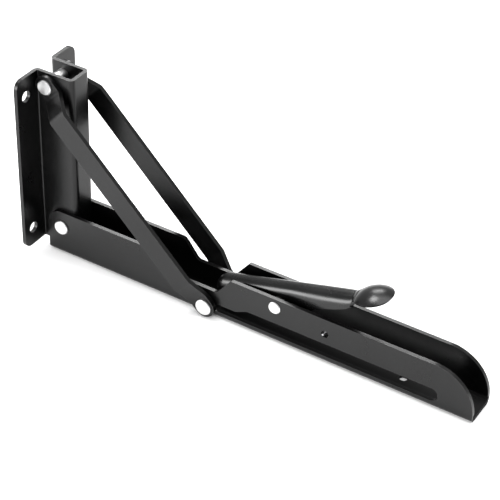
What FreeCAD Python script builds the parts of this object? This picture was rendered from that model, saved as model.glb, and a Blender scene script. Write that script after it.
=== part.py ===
import FreeCAD, Part
import math
import os

from FreeCAD import Vector

# Folding bracket for a drop leaf, open, in the pose in which it lies on a bench: the arm that is
# screwed under the leaf rests on its closed web, and the wall plate stands at its left end.
# +X runs along the arm from the wall to the free end, +Y goes across, +Z is up. The bracket is
# symmetric about y = 0, z = 0 is the outer face of the arm's web, and x = 0 is halfway between
# the wall and the free end. Lengths are millimetres.

# Driving dimensions: overall
wall_to_pivot = 18.0
pivot_to_free_end = 290.0
sheet = 2.4
inside_bend = 1.0
side_gap = 0.3
flat_gap = 0.05
fit_gap = 0.05

# Arm: one U channel with two slotted side walls
arm_half_width = 11.6
arm_height = 32.0
arm_tail = 10.2
arm_tail_radius = 10.0
arm_nose_radius = 27.0
pivot_height = 20.6
slot_floor = 4.9
slot_height = 9.1
slot_start_room = 0.3
slot_end_room = 3.95
slot_step_start = 20.6
slot_step_length = 8.0
notch_floor = 19.2
notch_back = 11.5
notch_front = 15.5
notch_slant = 10.0
notch_radius = 4.0
web_hole_radius = 2.75
web_hole_first = 30.0
web_hole_spacing = 210.0
anchor_hole_radius = 2.5

# Wall plate: one hat section
plate_depth = 28.4
plate_bottom = 7.0
plate_top = 129.7
flange_half_width = 29.0
flange_corner = 6.0
flange_hole_radius = 3.75
flange_hole_offset = 20.5
flange_hole_from_bottom = 12.5
flange_hole_from_top = 13.2

# Brace straps: two flat bars with a joggle near each end
brace_pivot_behind = 7.7
brace_pivot_height = 121.6
strap_width = 14.4
strap_thickness = 2.8
strap_spread = 17.2
upper_joggle_start = 7.5
joggle_run = 12.5
lower_joggle_end = 6.5
strap_bend = 4.0

# Rivets and the knee pin
rivet_radius = 3.0
rivet_barrel_radius = 4.0
rivet_head_radius = 5.0
rivet_head_height = 1.4
head_chamfer = 0.5
knee_pin_radius = 2.4
knee_head_radius = 5.4
knee_head_height = 1.3
knee_washer_radius = 6.2
pin_in_arm = 109.8
lever_rivet_head_radius = 4.1
lever_rivet_head_height = 0.8
spacer_radius = 5.0

# Release lever: a pressed channel, open below, with a domed nose and a flattened thumb pad
lever_sheet = 1.8
lever_half_width = 6.1
nose_to_lever_pivot = 46.9
lever_pivot_height = 25.7
nose_clearance = 0.8
tooth_clearance = 0.4
tooth_depth = 2.8
tooth_gap = 0.5
tooth_length = 4.5
handle_slope = 14.6
handle_height = 11.3
handle_length = 49.0
pad_beyond_heel = 11.2
pad_rise = 2.2
pad_slope = 33.0
pad_half_length = 12.0
pad_root_half_width = 6.0
pad_half_width = 10.6
pad_thickness = 2.0
pad_dish_radius = 25.0

# Lever spring: a torsion spring round the lever's rivet
spring_wire = 1.2
spring_turns = 2.0
spring_anchor_ahead = 34.7
spring_anchor_height = 21.3
spring_push_length = 9.5
spring_hook_back = 1.3
spring_hook_drop = 0.8

# Places that follow from the driving dimensions
overall_length = wall_to_pivot + pivot_to_free_end
pivot_x = wall_to_pivot - overall_length / 2
wall_x = pivot_x - wall_to_pivot
free_end_x = pivot_x + pivot_to_free_end
web_face_x = wall_x + plate_depth
arm_inside = arm_half_width - sheet
plate_half_width = arm_inside - side_gap
plate_inside = plate_half_width - sheet
outside_bend = inside_bend + sheet

pin_gap = 0.3
pin_height = slot_floor + pin_gap + knee_pin_radius
pin_x = pivot_x + pin_in_arm
narrow_slot_top = pin_height + knee_pin_radius + pin_gap
slot_top = slot_floor + slot_height

brace_pivot_x = pivot_x - brace_pivot_behind
brace_rise = brace_pivot_height - pivot_height
strap_length = math.hypot(pin_x - brace_pivot_x, brace_pivot_height - pin_height)
strap_angle = math.degrees(math.atan2(brace_pivot_height - pin_height, pin_x - brace_pivot_x))
folded_brace_height = pivot_height + brace_pivot_behind
folded_pin_x = pivot_x + brace_rise + math.sqrt(
    strap_length ** 2 - (folded_brace_height - pin_height) ** 2)
slot_end = folded_pin_x + slot_end_room
notch_x = pivot_x + brace_rise

strap_top_face = plate_half_width + side_gap
knee_washer_thickness = lever_rivet_head_height + pin_gap - 2 * flat_gap
strap_knee_face = arm_half_width + lever_rivet_head_height + pin_gap

plate_swing = math.hypot(plate_top - pivot_height, web_face_x - pivot_x)
nose_x = pivot_x + plate_swing + nose_clearance
lever_pivot_x = nose_x + nose_to_lever_pivot
tooth_foot = pin_height + knee_pin_radius + tooth_clearance
mouth_height = tooth_foot + tooth_depth
spacer_inner_face = lever_half_width + flat_gap
heel_x = lever_pivot_x + handle_length
anchor_x = lever_pivot_x + spring_anchor_ahead

through = 200.0


def side_view(x, z):
    return Vector(x, 0, z)


def cross_view(y, z):
    return Vector(0, y, z)


def plan_view(x, y):
    return Vector(x, y, 0)


def rounded_wire(corners, view):
    # A closed outline of straight runs, each corner (a, b, radius) rounded by a tangent arc
    points = [Vector(a, b, 0) for a, b, _ in corners]
    stretches = []
    for index, (_, _, radius) in enumerate(corners):
        corner = points[index]
        back = (points[index - 1] - corner).normalize()
        ahead = (points[(index + 1) % len(points)] - corner).normalize()
        half_angle = back.getAngle(ahead) / 2
        reach = radius / math.tan(half_angle) if radius else 0
        middle = corner
        if radius:
            bisector = (back + ahead).normalize()
            middle = corner + bisector * (radius / math.sin(half_angle) - radius)
        stretches.append((corner + back * reach, middle, corner + ahead * reach, radius))
    edges = []
    for index, (start, middle, end, radius) in enumerate(stretches):
        before = stretches[index - 1][2]
        if before.distanceToPoint(start) > 1e-6:
            edges.append(Part.LineSegment(view(before.x, before.y), view(start.x, start.y)).toShape())
        if radius:
            arc = Part.Arc(view(start.x, start.y), view(middle.x, middle.y), view(end.x, end.y))
            edges.append(arc.toShape())
    return Part.Wire(edges)


def rounded_face(corners, view):
    return Part.Face(rounded_wire(corners, view))


def across(corners, half_width):
    # A side view carried across the bracket, symmetric about y = 0
    face = rounded_face(corners, side_view)
    face.translate(Vector(0, -half_width, 0))
    return face.extrude(Vector(0, 2 * half_width, 0))


def cross_pin(x, z, radius, half_length=through):
    return Part.makeCylinder(radius, 2 * half_length, Vector(x, -half_length, z), Vector(0, 1, 0))


def turned(profile, x, z):
    # A turned piece about a cross axis: profile corners are (y, distance from axis)
    corners = [(y, distance, 0) for y, distance in profile]
    face = rounded_face(corners, lambda y, distance: Vector(x, y, z + distance))
    return face.revolve(Vector(x, 0, z), Vector(0, 1, 0), 360)


def head_profile(face, top, radius):
    # From the neck's end out to the middle of a low head with a bevelled rim
    return [(face, radius), (top - head_chamfer, radius), (top, radius - head_chamfer), (top, 0)]


def both_sides(half_profile):
    # A profile for positive y, completed with its mirror image
    return half_profile + [(-y, distance) for y, distance in reversed(half_profile)]


def mirrored(shape):
    return shape.mirror(Vector(0, 0, 0), Vector(0, 1, 0))


def save(name, shape):
    if shape.ShapeType == "Compound" and len(shape.Solids) == 1:
        shape = shape.Solids[0]
    if not shape.isValid():
        raise ValueError(name + " is not a valid solid")
    shape.exportStep(os.path.join("parts", name + ".step"))


def arm():
    left = pivot_x - arm_tail
    walls = across([
        (left, 0, 0),
        (free_end_x, 0, 0),
        (free_end_x, arm_height, arm_nose_radius),
        (notch_x + notch_front + notch_slant, arm_height, 0.6),
        (notch_x + notch_front, notch_floor, notch_radius),
        (notch_x - notch_back, notch_floor, notch_radius),
        (notch_x - notch_back - notch_slant, arm_height, notch_radius),
        (left, arm_height, arm_tail_radius),
    ], arm_half_width)
    above = arm_height + 1
    bent_outside = rounded_face([
        (-arm_half_width, 0, outside_bend),
        (arm_half_width, 0, outside_bend),
        (arm_half_width, above, 0),
        (-arm_half_width, above, 0),
    ], cross_view)
    trough = rounded_face([
        (-arm_inside, sheet, inside_bend),
        (arm_inside, sheet, inside_bend),
        (arm_inside, above, 0),
        (-arm_inside, above, 0),
    ], cross_view)
    for face in (bent_outside, trough):
        face.translate(Vector(-through, 0, 0))
    channel = walls.common(bent_outside.extrude(Vector(2 * through, 0, 0)))
    channel = channel.cut(trough.extrude(Vector(2 * through, 0, 0)))
    step = pin_x + slot_step_start
    slot_start = pin_x - knee_pin_radius - slot_start_room
    end_round = slot_height / 2 - 0.05
    narrow_round = (narrow_slot_top - slot_floor) / 2 - 0.05
    slot = across([
        (slot_start, slot_floor, narrow_round),
        (slot_end, slot_floor, end_round),
        (slot_end, slot_top, end_round),
        (step + slot_step_length, slot_top, 3.0),
        (step, narrow_slot_top, 3.0),
        (slot_start, narrow_slot_top, narrow_round),
    ], arm_half_width + 1)
    holes = [
        cross_pin(pivot_x, pivot_height, rivet_radius + fit_gap),
        cross_pin(lever_pivot_x, lever_pivot_height, rivet_radius + fit_gap),
        Part.makeCylinder(anchor_hole_radius, through,
                          Vector(anchor_x, 0, spring_anchor_height),
                          Vector(0, -1, 0)),
    ]
    for count in range(2):
        along = pivot_x + web_hole_first + count * web_hole_spacing
        holes.append(Part.makeCylinder(web_hole_radius, 3 * sheet, Vector(along, 0, -sheet)))
    return channel.cut([slot] + holes)


def wall_plate():
    front = wall_x + sheet
    section = rounded_face([
        (wall_x, flange_half_width, 0),
        (wall_x, plate_inside, outside_bend),
        (web_face_x - sheet, plate_inside, inside_bend),
        (web_face_x - sheet, -plate_inside, inside_bend),
        (wall_x, -plate_inside, outside_bend),
        (wall_x, -flange_half_width, 0),
        (front, -flange_half_width, 0),
        (front, -plate_half_width, inside_bend),
        (web_face_x, -plate_half_width, outside_bend),
        (web_face_x, plate_half_width, outside_bend),
        (front, plate_half_width, inside_bend),
        (front, flange_half_width, 0),
    ], plan_view)
    section.translate(Vector(0, 0, plate_bottom))
    hat = section.extrude(Vector(0, 0, plate_top - plate_bottom))
    outline = rounded_face([
        (-flange_half_width, plate_bottom, flange_corner),
        (flange_half_width, plate_bottom, flange_corner),
        (flange_half_width, plate_top, flange_corner),
        (-flange_half_width, plate_top, flange_corner),
    ], cross_view)
    outline.translate(Vector(wall_x - 1, 0, 0))
    hat = hat.common(outline.extrude(Vector(plate_depth + 2, 0, 0)))
    holes = [
        cross_pin(pivot_x, pivot_height, rivet_radius + fit_gap),
        cross_pin(brace_pivot_x, brace_pivot_height, rivet_radius + fit_gap),
    ]
    for side in (-1, 1):
        for height in (plate_bottom + flange_hole_from_bottom, plate_top - flange_hole_from_top):
            start = Vector(wall_x - sheet, side * flange_hole_offset, height)
            holes.append(Part.makeCylinder(flange_hole_radius, 3 * sheet, start, Vector(1, 0, 0)))
    return hat.cut(holes)


def offset_path(path, distance):
    # The same open path moved sideways by a distance, with its bends kept parallel
    moved = []
    for index, point in enumerate(path):
        turns = []
        if index > 0:
            turns.append((point - path[index - 1]).normalize())
        if index < len(path) - 1:
            turns.append((path[index + 1] - point).normalize())
        normals = [Vector(turn.y, -turn.x, 0) for turn in turns]
        total = normals[0] + normals[-1]
        scale = 2 * distance / total.Length ** 2
        moved.append(point + total * scale)
    return moved


def near_strap():
    # Built along its own axis from the upper pivot, then swung down to the knee
    end_radius = strap_width / 2
    tail = end_radius + 1
    inner = [
        Vector(-tail, -strap_top_face, 0),
        Vector(upper_joggle_start, -strap_top_face, 0),
        Vector(upper_joggle_start + joggle_run, -strap_spread, 0),
        Vector(strap_length - lower_joggle_end - joggle_run, -strap_spread, 0),
        Vector(strap_length - lower_joggle_end, -strap_knee_face, 0),
        Vector(strap_length + tail, -strap_knee_face, 0),
    ]
    outer = offset_path(inner, strap_thickness)
    tight = strap_bend
    wide = strap_bend + strap_thickness
    inner_radii = [0, wide, tight, tight, wide, 0]
    outer_radii = [0, tight, wide, wide, tight, 0]
    corners = [(point.x, point.y, radius) for point, radius in zip(inner, inner_radii)]
    corners += [(point.x, point.y, radius) for point, radius in zip(outer[::-1], outer_radii[::-1])]
    bar = rounded_face(corners, plan_view)
    bar.translate(Vector(0, 0, -strap_width))
    bar = bar.extrude(Vector(0, 0, 2 * strap_width))
    round_end = end_radius - 0.01
    outline = across([
        (-end_radius, -end_radius, round_end),
        (strap_length + end_radius, -end_radius, round_end),
        (strap_length + end_radius, end_radius, round_end),
        (-end_radius, end_radius, round_end),
    ], 2 * strap_spread)
    bar = bar.common(outline)
    bar = bar.cut([
        cross_pin(0, 0, rivet_radius + fit_gap),
        cross_pin(strap_length, 0, knee_pin_radius + fit_gap),
    ])
    bar.rotate(Vector(0, 0, 0), Vector(0, 1, 0), strap_angle)
    bar.translate(Vector(brace_pivot_x, 0, brace_pivot_height))
    return bar


def stepped_rivet(x, z, clamped_half_width):
    # A thick barrel between the plate's walls, a thinner neck through them, a low head outside
    barrel = plate_inside - flat_gap
    face = clamped_half_width + flat_gap
    half_profile = [(barrel, rivet_barrel_radius), (barrel, rivet_radius), (face, rivet_radius)]
    half_profile += head_profile(face, face + rivet_head_height, rivet_head_radius)
    return turned(both_sides(half_profile), x, z)


def lever_rivet():
    face = arm_half_width + flat_gap
    half_profile = [(face, rivet_radius)]
    half_profile += head_profile(face, face + lever_rivet_head_height, lever_rivet_head_radius)
    return turned(both_sides(half_profile), lever_pivot_x, lever_pivot_height)


def knee_pin():
    # The shank that slides in both slots; its ends stop short of the straps
    end = strap_knee_face - flat_gap
    return turned(both_sides([(end, knee_pin_radius), (end, 0)]), pin_x, pin_height)


def knee_pin_head():
    # The riveted end of the knee pin, through the near strap
    outer = strap_knee_face + strap_thickness + flat_gap
    profile = [(strap_knee_face, 0), (strap_knee_face, knee_pin_radius), (outer, knee_pin_radius)]
    profile += head_profile(outer, outer + knee_head_height, knee_head_radius)
    return mirrored(turned(profile, pin_x, pin_height))


def ring(x, z, inner_radius, outer_radius, low, high):
    return turned([
        (low, inner_radius),
        (low, outer_radius),
        (high, outer_radius),
        (high, inner_radius),
    ], x, z)


def ridge_height(along):
    # Height of the straight handle's ridge at a distance beyond the lever's pivot
    return lever_pivot_height + handle_height + along * math.tan(math.radians(handle_slope))


def pressed_body(inset):
    # The lever's outer or inner form: a side view carried across, with the roof edges rolled
    # round until the roof is nearly a half circle and the nose is domed
    half = lever_half_width - inset
    deep = -30
    outline = rounded_face([
        (nose_x, deep, 0),
        (nose_x, 20.5, 6.5),
        (nose_x + 5.5, 28.2, 9.0),
        (nose_x + 26, 29.2, 30.0),
        (lever_pivot_x + 4, ridge_height(4), 30.0),
        (heel_x, ridge_height(handle_length), 0),
        (heel_x, deep, 0),
    ], side_view)
    if inset:
        outline = outline.makeOffset2D(-inset)
    outline.translate(Vector(0, -half, 0))
    body = outline.extrude(Vector(0, 2 * half, 0))
    rolled = []
    for edge in body.Edges:
        ends = [vertex.Point for vertex in edge.Vertexes]
        on_side = all(abs(abs(point.y) - half) < 1e-6 for point in ends)
        same_side = on_side and abs(ends[0].y - ends[-1].y) < 1e-6
        middle = edge.CenterOfMass
        if same_side and middle.z > deep + 2 * lever_sheet and middle.x < heel_x - 2 * lever_sheet:
            rolled.append(edge)
    return body.makeFillet(half - 0.2, rolled)


def pad_blank():
    # The spoon's outline in plan, centred on its own middle, with a narrow root toward the lever
    root = -pad_half_length - 2.0
    neck = pad_root_half_width
    wide = pad_half_width
    side = [(root, -neck, 0), (-10.5, -neck, 3.0), (-5.5, -wide, 7.0),
            (pad_half_length, -wide, wide - 0.1)]
    other_side = [(along, -half, radius) for along, half, radius in reversed(side)]
    return rounded_face(side + other_side, plan_view)


def lever():
    shell = pressed_body(0).cut(pressed_body(lever_sheet))
    hub = 6.3
    mouth = nose_x + 3.0
    tooth = mouth + tooth_gap
    cheeks = across([
        (nose_x - 5, mouth_height, 0),
        (mouth, mouth_height, 0.5),
        (tooth, tooth_foot, 0.5),
        (tooth + tooth_length, tooth_foot, 1.5),
        (tooth + tooth_length + 8, lever_pivot_height - hub - 1, 6.0),
        (lever_pivot_x + hub, lever_pivot_height - hub, 7.0),
        (lever_pivot_x + 25, ridge_height(25) - 11.5, 10.0),
        (heel_x - 4.3, ridge_height(handle_length) - 8.3, 3.0),
        (heel_x + 1, ridge_height(handle_length) - 4.3, 0),
        (heel_x + 1, 90, 0),
        (nose_x - 5, 90, 0),
    ], 2 * lever_half_width)
    shell = shell.common(cheeks)

    # The pad is a shallow spoon: a thin spherical shell trimmed to its outline, tilted up and
    # cut off square where it meets the lever's closed end
    pad_centre = Vector(heel_x + pad_beyond_heel, 0, ridge_height(handle_length) + pad_rise)
    sphere_centre = pad_centre + Vector(0, 0, pad_dish_radius)
    poles = Vector(0, 1, 0)
    dish = Part.makeSphere(pad_dish_radius + pad_thickness, sphere_centre, poles)
    dish = dish.cut(Part.makeSphere(pad_dish_radius, sphere_centre, poles))
    blank = pad_blank()
    blank.translate(pad_centre - Vector(0, 0, 2 * pad_thickness))
    pad = dish.common(blank.extrude(Vector(0, 0, pad_dish_radius)))
    pad.rotate(pad_centre, Vector(0, 1, 0), -pad_slope)
    pad = pad.cut(Part.makeBox(through, through, through, Vector(heel_x - through, -through / 2, 0)))
    whole = shell.fuse(pad).removeSplitter()
    return whole.cut(cross_pin(lever_pivot_x, lever_pivot_height, rivet_radius + fit_gap))


def straight_wire(start, end):
    way = end - start
    return Part.makeCylinder(spring_wire / 2, way.Length + spring_wire / 2, start, way)


def lever_spring():
    # A coil round the rivet, one leg anchored in the near wall and one leg under the lever's roof
    coil_radius = rivet_radius + side_gap + spring_wire / 2
    pitch = spring_wire + 0.15
    height = pitch * spring_turns
    helix = Part.makeHelix(pitch, height, coil_radius)
    start = Vector(coil_radius, 0, 0)
    section = Part.makePolygon([
        start + Vector(math.cos(turn), 0, math.sin(turn)) * (spring_wire / 2)
        for turn in [step * math.pi / 3 for step in range(7)]
    ])
    coil = Part.Wire(helix.Edges).makePipeShell([section], True, True)
    coil.rotate(Vector(0, 0, 0), Vector(1, 0, 0), -90)
    coil.translate(Vector(lever_pivot_x, -height / 2, lever_pivot_height))
    low_end = Vector(lever_pivot_x + coil_radius, -height / 2, lever_pivot_height)
    high_end = Vector(lever_pivot_x + coil_radius, height / 2, lever_pivot_height)
    bend = Vector(anchor_x - spring_hook_back, -height / 2,
                  spring_anchor_height - spring_hook_drop)
    hook = Vector(bend.x, -arm_half_width + 0.4, bend.z)
    push = high_end + Vector(spring_push_length * 0.5, 0, spring_push_length * 0.86)
    pieces = [straight_wire(low_end, bend), straight_wire(bend, hook), straight_wire(high_end, push)]
    return coil.fuse(pieces)


def build():
    os.makedirs("parts", exist_ok=True)
    near = near_strap()
    head = knee_pin_head()
    washer = ring(pin_x, pin_height, knee_pin_radius + fit_gap, knee_washer_radius,
                  -strap_knee_face + flat_gap, -arm_half_width - flat_gap)
    spacer = ring(lever_pivot_x, lever_pivot_height, rivet_radius + fit_gap, spacer_radius,
                  -arm_inside + flat_gap, -spacer_inner_face)
    pieces = {
        "arm": arm(),
        "wall_plate": wall_plate(),
        "near_strap": near,
        "far_strap": mirrored(near),
        "wall_pivot_rivet": stepped_rivet(pivot_x, pivot_height, arm_half_width),
        "brace_pivot_rivet": stepped_rivet(brace_pivot_x, brace_pivot_height,
                                           strap_top_face + strap_thickness),
        "knee_pin": knee_pin(),
        "near_knee_head": head,
        "far_knee_head": mirrored(head),
        "near_knee_washer": washer,
        "far_knee_washer": mirrored(washer),
        "release_lever": lever(),
        "lever_rivet": lever_rivet(),
        "near_lever_spacer": spacer,
        "far_lever_spacer": mirrored(spacer),
        "lever_spring": lever_spring(),
    }
    for name, shape in pieces.items():
        save(name, shape)
        box = shape.BoundBox
        print(f"{name}: solids {len(shape.Solids)} volume {shape.Volume:.0f} "
              f"x {box.XMin:.1f}..{box.XMax:.1f} y {box.YMin:.1f}..{box.YMax:.1f} "
              f"z {box.ZMin:.1f}..{box.ZMax:.1f}")


build()
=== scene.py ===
import math

import bmesh
import bpy
from mathutils import Matrix, Vector

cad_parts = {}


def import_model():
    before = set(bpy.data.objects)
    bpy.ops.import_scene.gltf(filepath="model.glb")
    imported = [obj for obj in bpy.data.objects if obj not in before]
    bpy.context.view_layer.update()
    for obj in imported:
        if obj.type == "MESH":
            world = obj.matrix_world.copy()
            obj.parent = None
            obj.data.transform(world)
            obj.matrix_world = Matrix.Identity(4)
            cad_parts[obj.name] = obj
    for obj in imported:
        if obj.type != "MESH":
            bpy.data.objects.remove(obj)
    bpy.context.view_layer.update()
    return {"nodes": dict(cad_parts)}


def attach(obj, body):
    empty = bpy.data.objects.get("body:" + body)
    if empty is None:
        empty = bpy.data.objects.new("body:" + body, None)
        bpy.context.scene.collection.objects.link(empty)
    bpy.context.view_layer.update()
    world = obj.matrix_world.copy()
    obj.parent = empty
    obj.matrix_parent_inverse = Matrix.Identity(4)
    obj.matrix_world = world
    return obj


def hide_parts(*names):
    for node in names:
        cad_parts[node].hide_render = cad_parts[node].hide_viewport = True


# Looks of the folding bracket: satin black powder coat on the sheet parts, a glossier black on the
# release lever, dark steel on the washers and spacers, and bright zinc on the pin and rivets.
# Everything is in the frame of the solids, in metres, apart from the profile of the lever below.

# Camera, fitted to the outline in the photograph
CAMERA_PLACE = Vector((0.4051, -0.6956, 0.6587))
CAMERA_RIGHT = Vector((0.8500, 0.5260, 0.0300))
CAMERA_UP = Vector((-0.3371, 0.4993, 0.7982))
CAMERA_BACK = Vector((0.4049, -0.6886, 0.6017))
CAMERA_LENS = 121.97
CAMERA_CLIP_END = 20.0
SENSOR_WIDTH = 36.0

# Soft light all round, and area lights: name, place, point that it faces, width, height, watts
WORLD_STRENGTH = 0.62
AREA_LIGHTS = [
    ("low_front", (-0.75, -1.6, 0.42), (0.0, 0.0, 0.1), 2.4, 0.8, 50.0),
    ("back", (-0.9, 1.5, 1.4), (0.0, 0.0, 0.05), 0.9, 0.5, 12.0),
    ("overhead", (-0.7, 0.15, 1.75), (0.0, 0.0, 0.0), 0.6, 0.6, 15.0),
    ("fill", (0.5, 0.3, 2.0), (0.0, 0.0, 0.0), 2.0, 2.0, 30.0),
]

# Floor, a hair below the bracket so that the two faces don't coincide
FLOOR_SIZE = 8.0
FLOOR_DROP = 0.0002
FLOOR_TONES = ((0.92, 0.92, 0.92), (0.94, 0.94, 0.94))
FLOOR_GRAIN_SCALE = 60.0
FLOOR_GRAIN_DETAIL = 2.0
FLOOR_ROUGHNESS = 0.9
FLOOR_SPECULAR = 0.1

# Nodes by finish
SHEET_PARTS = ["arm", "wall_plate", "near_strap", "far_strap"]
RIVETED_PARTS = ["wall_pivot_rivet", "brace_pivot_rivet", "lever_rivet", "knee_pin",
                 "near_knee_head", "far_knee_head"]
DARK_PARTS = ["near_knee_washer", "far_knee_washer", "near_lever_spacer", "far_lever_spacer"]

# Powder coat. A range is the pair of noise readings between which a property runs from one end of
# its spread to the other.
MOTTLE_SCALE = 45.0
MOTTLE_DETAIL = 4.0
MOTTLE_TONE_RANGE = (0.35, 0.65)
MOTTLE_ROUGHNESS_RANGE = (0.3, 0.7)
MOTTLE_ROUGHNESS_SPREAD = (-0.03, 0.04)
MOTTLE_GAIN = 1.6
MOTTLE_LIFT = 0.0003
PEEL_DETAIL = 3.0
PEEL_ROUGHNESS = 0.6
PEEL_STRENGTH = 0.5
SPECKLE_SCALE = 380.0
SPECKLE_DETAIL = 2.0
SPECKLE_RANGE = (0.35, 0.6)
SPECKLE_LEAST = 0.35

# Thin coat on corners, with a lighter tone that is painted highlight along the edges: how far it
# reaches from the corner, and the dot products of the rounded and the true normal at which its
# mask starts and is full
THIN_HIGHLIGHT_REACH = 0.0004
THIN_HIGHLIGHT_SAMPLES = 6
THIN_HIGHLIGHT_START = 0.97
THIN_HIGHLIGHT_FULL = 0.75
THIN_ROUGHNESS_SHARE = 0.4

# Dust low down inside the arm: the half width and height that it keeps within, and its soft edges
DUST_WITHIN = 0.0104
DUST_BELOW = 0.005
DUST_FADE_ACROSS = 0.0004
DUST_FADE_UP = 0.0003
DUST_ROUGHNESS = 0.85

# Zinc plating and bare wire
CLOUD_SCALE = 160.0
CLOUD_DETAIL = 3.0
CLOUD_RANGE = (0.3, 0.7)
CLOUD_ROUGHNESS_SPREAD = (-0.05, 0.06)
CLOUD_DARKER = 0.88
MARK_SCALE = 1400.0
MARK_DETAIL = 2.0
MARK_STRENGTH = 0.35
MARK_HEIGHT = 0.00004

# Rounding of the deburred edges, which takes every edge that turns by more than the sharp angle
SHARP_ANGLE = math.radians(50)
EDGE_ROUND = 0.0004
EDGE_SEGMENTS = 2
LEVER_EDGE_ROUND = 0.0005
LEVER_EDGE_SEGMENTS = 3

# Release lever in metres: its pivot, its sheet, the radius of its bore, and how far from the pivot
# the rim of the opened cheeks can lie
LEVER_PIVOT = Vector((0.0212946, 0.0, 0.0257))
LEVER_SHEET = 0.0018
LEVER_BORE = 0.0032
BORE_RIM_REACH = 1.9 * LEVER_BORE
MERGE_DISTANCE = 1e-6

# Profile of the release lever in millimetres: places along it count from the pivot, heights from
# the underside of the arm. The tables hold (along, half width) and (along, height).
MM_PER_METRE = 1000
LEVER_SLOPE = math.radians(15.5)
LEVER_ROOF_AT_PIVOT = 37.97
LEVER_HALF_WIDTH = 6.1
HANDLE_WIDTHS = [(6.0, 6.1), (16.0, 6.7), (28.0, 7.3), (41.0, 7.3), (44.0, 7.1), (47.0, 6.6)]
CHEEK_LOW = [(-46.9, 13.2), (-43.9, 13.2), (-43.4, 10.5), (-38.9, 10.5), (-30.9, 18.4),
             (6.3, 19.4), (25.0, 32.4), (30.4, 35.2), (44.8, 41.8), (48.0, 44.6)]
NOSE_ALONG = -46.8
NOSE_LENGTH = 6.1
NOSE_DROP = 9.0
HEEL_ALONG = 46.2

# Thumb pad, also in millimetres: the place of its middle, its slope and size, the radius of its
# crown, and where the neck runs into it, counted along it from its middle
PAD_ALONG = 57.0
PAD_HEIGHT = 57.6
PAD_SLOPE = math.radians(18.5)
PAD_HALF_LENGTH = 12.6
PAD_HALF_WIDTH = 12.2
PAD_CROWN = 19.0
PAD_ROOT = -9.2

# Points across half a section of the lever, the share of them that goes to the round roof, and the
# sections along each stretch
SECTION_STEPS = 20
ROOF_SHARE = 0.62
NOSE_STEPS = 14
HANDLE_STEPS = 70
NECK_STEPS = 10
PAD_STEPS = 28


def new_material(name):
    material = bpy.data.materials.new(name)
    material.use_nodes = True
    nodes = material.node_tree.nodes
    links = material.node_tree.links
    shader = nodes["Principled BSDF"]
    return material, nodes, links, shader


def noise(nodes, links, coordinates, scale, detail, roughness=0.5):
    node = nodes.new("ShaderNodeTexNoise")
    node.inputs["Scale"].default_value = scale
    node.inputs["Detail"].default_value = detail
    node.inputs["Roughness"].default_value = roughness
    links.new(coordinates.outputs["Object"], node.inputs["Vector"])
    return node


def remap(nodes, links, source, low, high, to_low=0.0, to_high=1.0):
    node = nodes.new("ShaderNodeMapRange")
    node.inputs["From Min"].default_value = low
    node.inputs["From Max"].default_value = high
    node.inputs["To Min"].default_value = to_low
    node.inputs["To Max"].default_value = to_high
    links.new(source, node.inputs["Value"])
    return node


def product(nodes, links, first, second):
    # Of two remapped values
    node = nodes.new("ShaderNodeMath")
    node.operation = "MULTIPLY"
    links.new(first.outputs["Result"], node.inputs[0])
    links.new(second.outputs["Result"], node.inputs[1])
    return node


def blend_towards(nodes, links, factor, source, value):
    # From a number that varies to a fixed one
    node = nodes.new("ShaderNodeMix")
    node.inputs["B"].default_value = value
    links.new(factor, node.inputs["Factor"])
    links.new(source, node.inputs["A"])
    return node


def colour_blend(nodes, links, factor, first, second):
    node = nodes.new("ShaderNodeMix")
    node.data_type = "RGBA"
    node.inputs["A"].default_value = (*first, 1.0)
    node.inputs["B"].default_value = (*second, 1.0)
    links.new(factor, node.inputs["Factor"])
    return node


def add_bump(nodes, links, shader, height, strength, distance):
    bump = nodes.new("ShaderNodeBump")
    bump.inputs["Strength"].default_value = strength
    bump.inputs["Distance"].default_value = distance
    links.new(height.outputs["Fac"], bump.inputs["Height"])
    links.new(bump.outputs["Normal"], shader.inputs["Normal"])


def thin_coat_highlight_mask(nodes, links):
    # One on the corners, where the coat is thin and a lighter tone is painted as edge highlight,
    # and nought on open faces
    bevel = nodes.new("ShaderNodeBevel")
    bevel.samples = THIN_HIGHLIGHT_SAMPLES
    bevel.inputs["Radius"].default_value = THIN_HIGHLIGHT_REACH
    geometry = nodes.new("ShaderNodeNewGeometry")
    dot = nodes.new("ShaderNodeVectorMath")
    dot.operation = "DOT_PRODUCT"
    links.new(bevel.outputs["Normal"], dot.inputs[0])
    links.new(geometry.outputs["Normal"], dot.inputs[1])
    return remap(nodes, links, dot.outputs["Value"], THIN_HIGHLIGHT_START, THIN_HIGHLIGHT_FULL)


def dust_mask(nodes, links, coordinates):
    # One low down between the walls of the arm, and nought elsewhere
    place = nodes.new("ShaderNodeSeparateXYZ")
    links.new(coordinates.outputs["Object"], place.inputs["Vector"])
    across = nodes.new("ShaderNodeMath")
    across.operation = "ABSOLUTE"
    links.new(place.outputs["Y"], across.inputs[0])
    inside = remap(nodes, links, across.outputs["Value"],
                   DUST_WITHIN, DUST_WITHIN + DUST_FADE_ACROSS, 1.0, 0.0)
    low = remap(nodes, links, place.outputs["Z"],
                DUST_BELOW, DUST_BELOW + DUST_FADE_UP, 1.0, 0.0)
    return product(nodes, links, inside, low)


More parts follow.
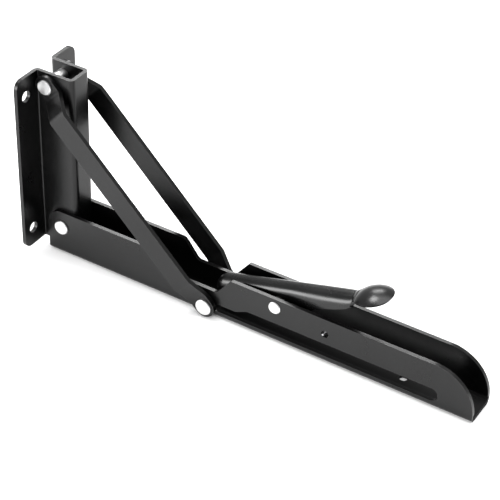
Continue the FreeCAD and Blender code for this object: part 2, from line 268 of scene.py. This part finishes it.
def coated_steel(name, base, worn_and_highlight, roughness, grain_size, grain_height, specular, dusty=False):
    # A baked coat over steel: fine orange peel, faint mottling, smoother edges where the coat is
    # thin, a lighter edge colour that is partly thin coat and partly painted highlight and, where
    # it is dusty, a duller coat low down inside the arm
    material, nodes, links, shader = new_material(name)
    coordinates = nodes.new("ShaderNodeTexCoord")
    mottle = noise(nodes, links, coordinates, MOTTLE_SCALE, MOTTLE_DETAIL)
    peel = noise(nodes, links, coordinates, 1.0 / grain_size, PEEL_DETAIL, PEEL_ROUGHNESS)
    speckle = noise(nodes, links, coordinates, SPECKLE_SCALE, SPECKLE_DETAIL)
    thin_and_highlight = thin_coat_highlight_mask(nodes, links)

    lighter = tuple(channel * MOTTLE_GAIN + MOTTLE_LIFT for channel in base)
    tone = remap(nodes, links, mottle.outputs["Fac"], *MOTTLE_TONE_RANGE)
    coat = colour_blend(nodes, links, tone.outputs["Result"], base, lighter)
    broken = remap(nodes, links, speckle.outputs["Fac"], *SPECKLE_RANGE, SPECKLE_LEAST)
    patchy_highlight = product(nodes, links, thin_and_highlight, broken)
    # The lighter edge colour is painted highlight as well as thin coat
    finish = colour_blend(nodes, links, patchy_highlight.outputs["Value"], base, worn_and_highlight)
    links.new(coat.outputs["Result"], finish.inputs["A"])
    links.new(finish.outputs["Result"], shader.inputs["Base Color"])

    smoothest, roughest = (roughness + offset for offset in MOTTLE_ROUGHNESS_SPREAD)
    gloss = remap(nodes, links, mottle.outputs["Fac"], *MOTTLE_ROUGHNESS_RANGE,
                  smoothest, roughest)
    gloss = blend_towards(nodes, links, thin_and_highlight.outputs["Result"], gloss.outputs["Result"],
                          THIN_ROUGHNESS_SHARE * roughness)
    if dusty:
        dust = dust_mask(nodes, links, coordinates)
        gloss = blend_towards(nodes, links, dust.outputs["Value"], gloss.outputs["Result"],
                              DUST_ROUGHNESS)
    links.new(gloss.outputs["Result"], shader.inputs["Roughness"])
    add_bump(nodes, links, shader, peel, PEEL_STRENGTH, grain_height)
    shader.inputs["Specular IOR Level"].default_value = specular
    return material


def plated_steel(name, base, roughness):
    # A clear bright metal with faint turning marks and slight unevenness
    material, nodes, links, shader = new_material(name)
    coordinates = nodes.new("ShaderNodeTexCoord")
    cloud = noise(nodes, links, coordinates, CLOUD_SCALE, CLOUD_DETAIL)
    marks = noise(nodes, links, coordinates, MARK_SCALE, MARK_DETAIL)
    darker = tuple(channel * CLOUD_DARKER for channel in base)
    tone = remap(nodes, links, cloud.outputs["Fac"], *CLOUD_RANGE)
    metal = colour_blend(nodes, links, tone.outputs["Result"], darker, base)
    links.new(metal.outputs["Result"], shader.inputs["Base Color"])
    smoothest, roughest = (roughness + offset for offset in CLOUD_ROUGHNESS_SPREAD)
    gloss = remap(nodes, links, cloud.outputs["Fac"], *CLOUD_RANGE, smoothest, roughest)
    links.new(gloss.outputs["Result"], shader.inputs["Roughness"])
    add_bump(nodes, links, shader, marks, MARK_STRENGTH, MARK_HEIGHT)
    shader.inputs["Metallic"].default_value = 1.0
    return material


def dress(objects, names, material):
    for name in names:
        target = objects[name]
        target.data.materials.clear()
        target.data.materials.append(material)


def add_object(name, data):
    item = bpy.data.objects.new(name, data)
    bpy.context.scene.collection.objects.link(item)
    return item


def round_edges(target, name, width, segments):
    bevel = target.modifiers.new(name, "BEVEL")
    bevel.width = width
    bevel.segments = segments
    bevel.limit_method = "ANGLE"
    bevel.angle_limit = SHARP_ANGLE
    return bevel


def roof_height(along):
    return LEVER_ROOF_AT_PIVOT + along * math.tan(LEVER_SLOPE)


def between(knots, along):
    # Straight-line reading of a short table of (along, value)
    for (low, first), (high, second) in zip(knots, knots[1:]):
        if along <= high:
            share = max(0.0, (along - low) / (high - low))
            return first + (second - first) * share
    return knots[-1][1]


def handle_section(along, roof, half_width):
    # One cross-section of the pressed channel: a half-round roof on two upright cheeks
    shoulder = roof - half_width
    foot = min(between(CHEEK_LOW, along), shoulder)
    points = []
    for step in range(-SECTION_STEPS, SECTION_STEPS + 1):
        share = abs(step) / SECTION_STEPS
        side = math.copysign(1.0, step)
        if share < ROOF_SHARE:
            turn = math.pi / 2 * share / ROOF_SHARE
            points.append((along, side * half_width * math.sin(turn),
                           roof - half_width * (1 - math.cos(turn))))
        else:
            down = (share - ROOF_SHARE) / (1 - ROOF_SHARE)
            points.append((along, side * half_width, shoulder + (foot - shoulder) * down))
    return points


def pad_section(reach):
    # One cross-section of the crowned thumb pad, at a distance along it from its middle
    share = min(1.0, abs(reach) / PAD_HALF_LENGTH)
    half_width = PAD_HALF_WIDTH * math.sqrt(1 - share * share)
    points = []
    for step in range(-SECTION_STEPS, SECTION_STEPS + 1):
        across = half_width * step / SECTION_STEPS
        rise = math.sqrt(PAD_CROWN ** 2 - reach ** 2 - across ** 2) - PAD_CROWN
        along = PAD_ALONG + reach * math.cos(PAD_SLOPE) - rise * math.sin(PAD_SLOPE)
        height = PAD_HEIGHT + reach * math.sin(PAD_SLOPE) + rise * math.cos(PAD_SLOPE)
        points.append((along, across, height))
    return points


def blended(first, second, share):
    # Steady along the lever and eased across it, so both ends of the neck are rounded
    ease = share * share * (3 - 2 * share)
    shares = (share, ease, ease)
    return [tuple(a + (b - a) * part for a, b, part in zip(one, other, shares))
            for one, other in zip(first, second)]


def lever_sections():
    # From the domed nose along the handle and over the neck to the tip of the thumb pad
    sections = []
    for step in range(NOSE_STEPS, 0, -1):
        turn = math.pi / 2 * step / NOSE_STEPS
        along = NOSE_ALONG + NOSE_LENGTH * (1 - math.sin(turn))
        roof = roof_height(along) - NOSE_DROP * (1 - math.cos(turn))
        sections.append(handle_section(along, roof, LEVER_HALF_WIDTH * math.cos(turn)))
    start = NOSE_ALONG + NOSE_LENGTH
    for step in range(HANDLE_STEPS + 1):
        along = start + (HEEL_ALONG - start) * step / HANDLE_STEPS
        sections.append(handle_section(along, roof_height(along), between(HANDLE_WIDTHS, along)))
    heel, root = sections[-1], pad_section(PAD_ROOT)
    for step in range(1, NECK_STEPS):
        sections.append(blended(heel, root, step / NECK_STEPS))
    root_turn = math.asin(PAD_ROOT / PAD_HALF_LENGTH)
    for step in range(PAD_STEPS + 1):
        turn = root_turn + (math.pi / 2 - root_turn) * step / PAD_STEPS
        sections.append(pad_section(PAD_HALF_LENGTH * math.sin(turn)))
    return sections


def open_bore(mesh):
    # Clear the cheeks round the rivet and draw the rim of the gap in to a round bore
    def from_pivot(vertex):
        return math.hypot(vertex.co.x - LEVER_PIVOT.x, vertex.co.z - LEVER_PIVOT.z)

    covered = [face for face in mesh.faces
               if any(from_pivot(vertex) < LEVER_BORE for vertex in face.verts)]
    bmesh.ops.delete(mesh, geom=covered, context="FACES")
    for vertex in mesh.verts:
        if vertex.is_boundary and from_pivot(vertex) < BORE_RIM_REACH:
            share = LEVER_BORE / from_pivot(vertex)
            vertex.co.x = LEVER_PIVOT.x + (vertex.co.x - LEVER_PIVOT.x) * share
            vertex.co.z = LEVER_PIVOT.z + (vertex.co.z - LEVER_PIVOT.z) * share


def pressed_lever():
    # The release lever as one smooth pressing: domed nose, half-round handle, crowned thumb pad
    mesh = bmesh.new()
    rows = [[mesh.verts.new((LEVER_PIVOT.x + along / MM_PER_METRE, across / MM_PER_METRE,
                             height / MM_PER_METRE)) for along, across, height in section]
            for section in lever_sections()]
    for row, following in zip(rows, rows[1:]):
        for index in range(len(row) - 1):
            mesh.faces.new((row[index], following[index],
                            following[index + 1], row[index + 1]))
    bmesh.ops.remove_doubles(mesh, verts=mesh.verts, dist=MERGE_DISTANCE)
    bmesh.ops.recalc_face_normals(mesh, faces=mesh.faces)
    highest = max(mesh.faces, key=lambda face: face.calc_center_median().z)
    if highest.normal.z < 0:
        bmesh.ops.reverse_faces(mesh, faces=mesh.faces)
    open_bore(mesh)
    data = bpy.data.meshes.new("release_lever_pressing")
    mesh.to_mesh(data)
    mesh.free()
    for polygon in data.polygons:
        polygon.use_smooth = True
    piece = add_object("release_lever_pressing", data)

    sheet = piece.modifiers.new("sheet", "SOLIDIFY")
    sheet.thickness = LEVER_SHEET
    sheet.offset = -1.0
    sheet.use_even_offset = True
    round_edges(piece, "rim", LEVER_EDGE_ROUND, LEVER_EDGE_SEGMENTS)
    return piece


def add_camera():
    data = bpy.data.cameras.new("camera")
    data.sensor_width = SENSOR_WIDTH
    data.lens = CAMERA_LENS
    data.clip_end = CAMERA_CLIP_END
    camera = add_object("camera", data)
    turn = Matrix((CAMERA_RIGHT, CAMERA_UP, CAMERA_BACK)).transposed().to_4x4()
    camera.matrix_world = Matrix.Translation(CAMERA_PLACE) @ turn
    bpy.context.scene.camera = camera


def add_area_light(name, place, target, width, height, power):
    data = bpy.data.lights.new(name, "AREA")
    data.shape = "RECTANGLE"
    data.size = width
    data.size_y = height
    data.energy = power
    light = add_object(name, data)
    light.location = place
    light.rotation_euler = (Vector(target) - Vector(place)).to_track_quat("-Z", "Y").to_euler()


def add_world():
    world = bpy.data.worlds.new("studio")
    bpy.context.scene.world = world
    world.use_nodes = True
    background = world.node_tree.nodes["Background"]
    background.inputs["Color"].default_value = (1.0, 1.0, 1.0, 1.0)
    background.inputs["Strength"].default_value = WORLD_STRENGTH


def set_view_tones():
    view = bpy.context.scene.view_settings
    view.view_transform = "Standard"
    view.look = "Medium High Contrast"


def add_floor():
    bpy.ops.mesh.primitive_plane_add(size=FLOOR_SIZE, location=(0.0, 0.0, -FLOOR_DROP))
    floor = bpy.context.active_object
    floor.name = "floor"
    material, nodes, links, shader = new_material("pale_floor")
    coordinates = nodes.new("ShaderNodeTexCoord")
    grain = noise(nodes, links, coordinates, FLOOR_GRAIN_SCALE, FLOOR_GRAIN_DETAIL)
    tone = colour_blend(nodes, links, grain.outputs["Fac"], *FLOOR_TONES)
    links.new(tone.outputs["Result"], shader.inputs["Base Color"])
    shader.inputs["Roughness"].default_value = FLOOR_ROUGHNESS
    shader.inputs["Specular IOR Level"].default_value = FLOOR_SPECULAR
    floor.data.materials.append(material)


def main():
    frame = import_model()
    nodes = frame["nodes"]

    # The worn tones below are lighter edge colours, partly thin coat and partly painted highlight
    coat = coated_steel("powder_coat", base=(0.001, 0.001, 0.0011), worn_and_highlight=(0.06, 0.06, 0.06),
                        roughness=0.3, grain_size=0.0006, grain_height=0.00003, specular=0.45,
                        dusty=True)
    lever_coat = coated_steel("lever_coat", base=(0.001, 0.001, 0.0011), worn_and_highlight=(0.01, 0.01, 0.01),
                              roughness=0.27, grain_size=0.0012, grain_height=0.00001,
                              specular=0.55)
    dark_steel = coated_steel("dark_steel", base=(0.004, 0.004, 0.004), worn_and_highlight=(0.03, 0.03, 0.03),
                              roughness=0.35, grain_size=0.0007, grain_height=0.00001,
                              specular=0.5)
    zinc = plated_steel("zinc", base=(0.74, 0.74, 0.74), roughness=0.32)
    spring_wire = plated_steel("spring_wire", base=(0.6, 0.6, 0.62), roughness=0.25)

    dress(nodes, SHEET_PARTS, coat)
    lever = pressed_lever()
    lever.data.materials.append(lever_coat)
    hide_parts("release_lever")
    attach(lever, "release_lever")
    dress(nodes, RIVETED_PARTS, zinc)
    dress(nodes, DARK_PARTS, dark_steel)
    dress(nodes, ["lever_spring"], spring_wire)
    for name in SHEET_PARTS:
        bevel = round_edges(nodes[name], "deburred", EDGE_ROUND, EDGE_SEGMENTS)
        bevel.harden_normals = True

    add_camera()
    add_world()
    set_view_tones()
    for light in AREA_LIGHTS:
        add_area_light(*light)
    add_floor()


main()
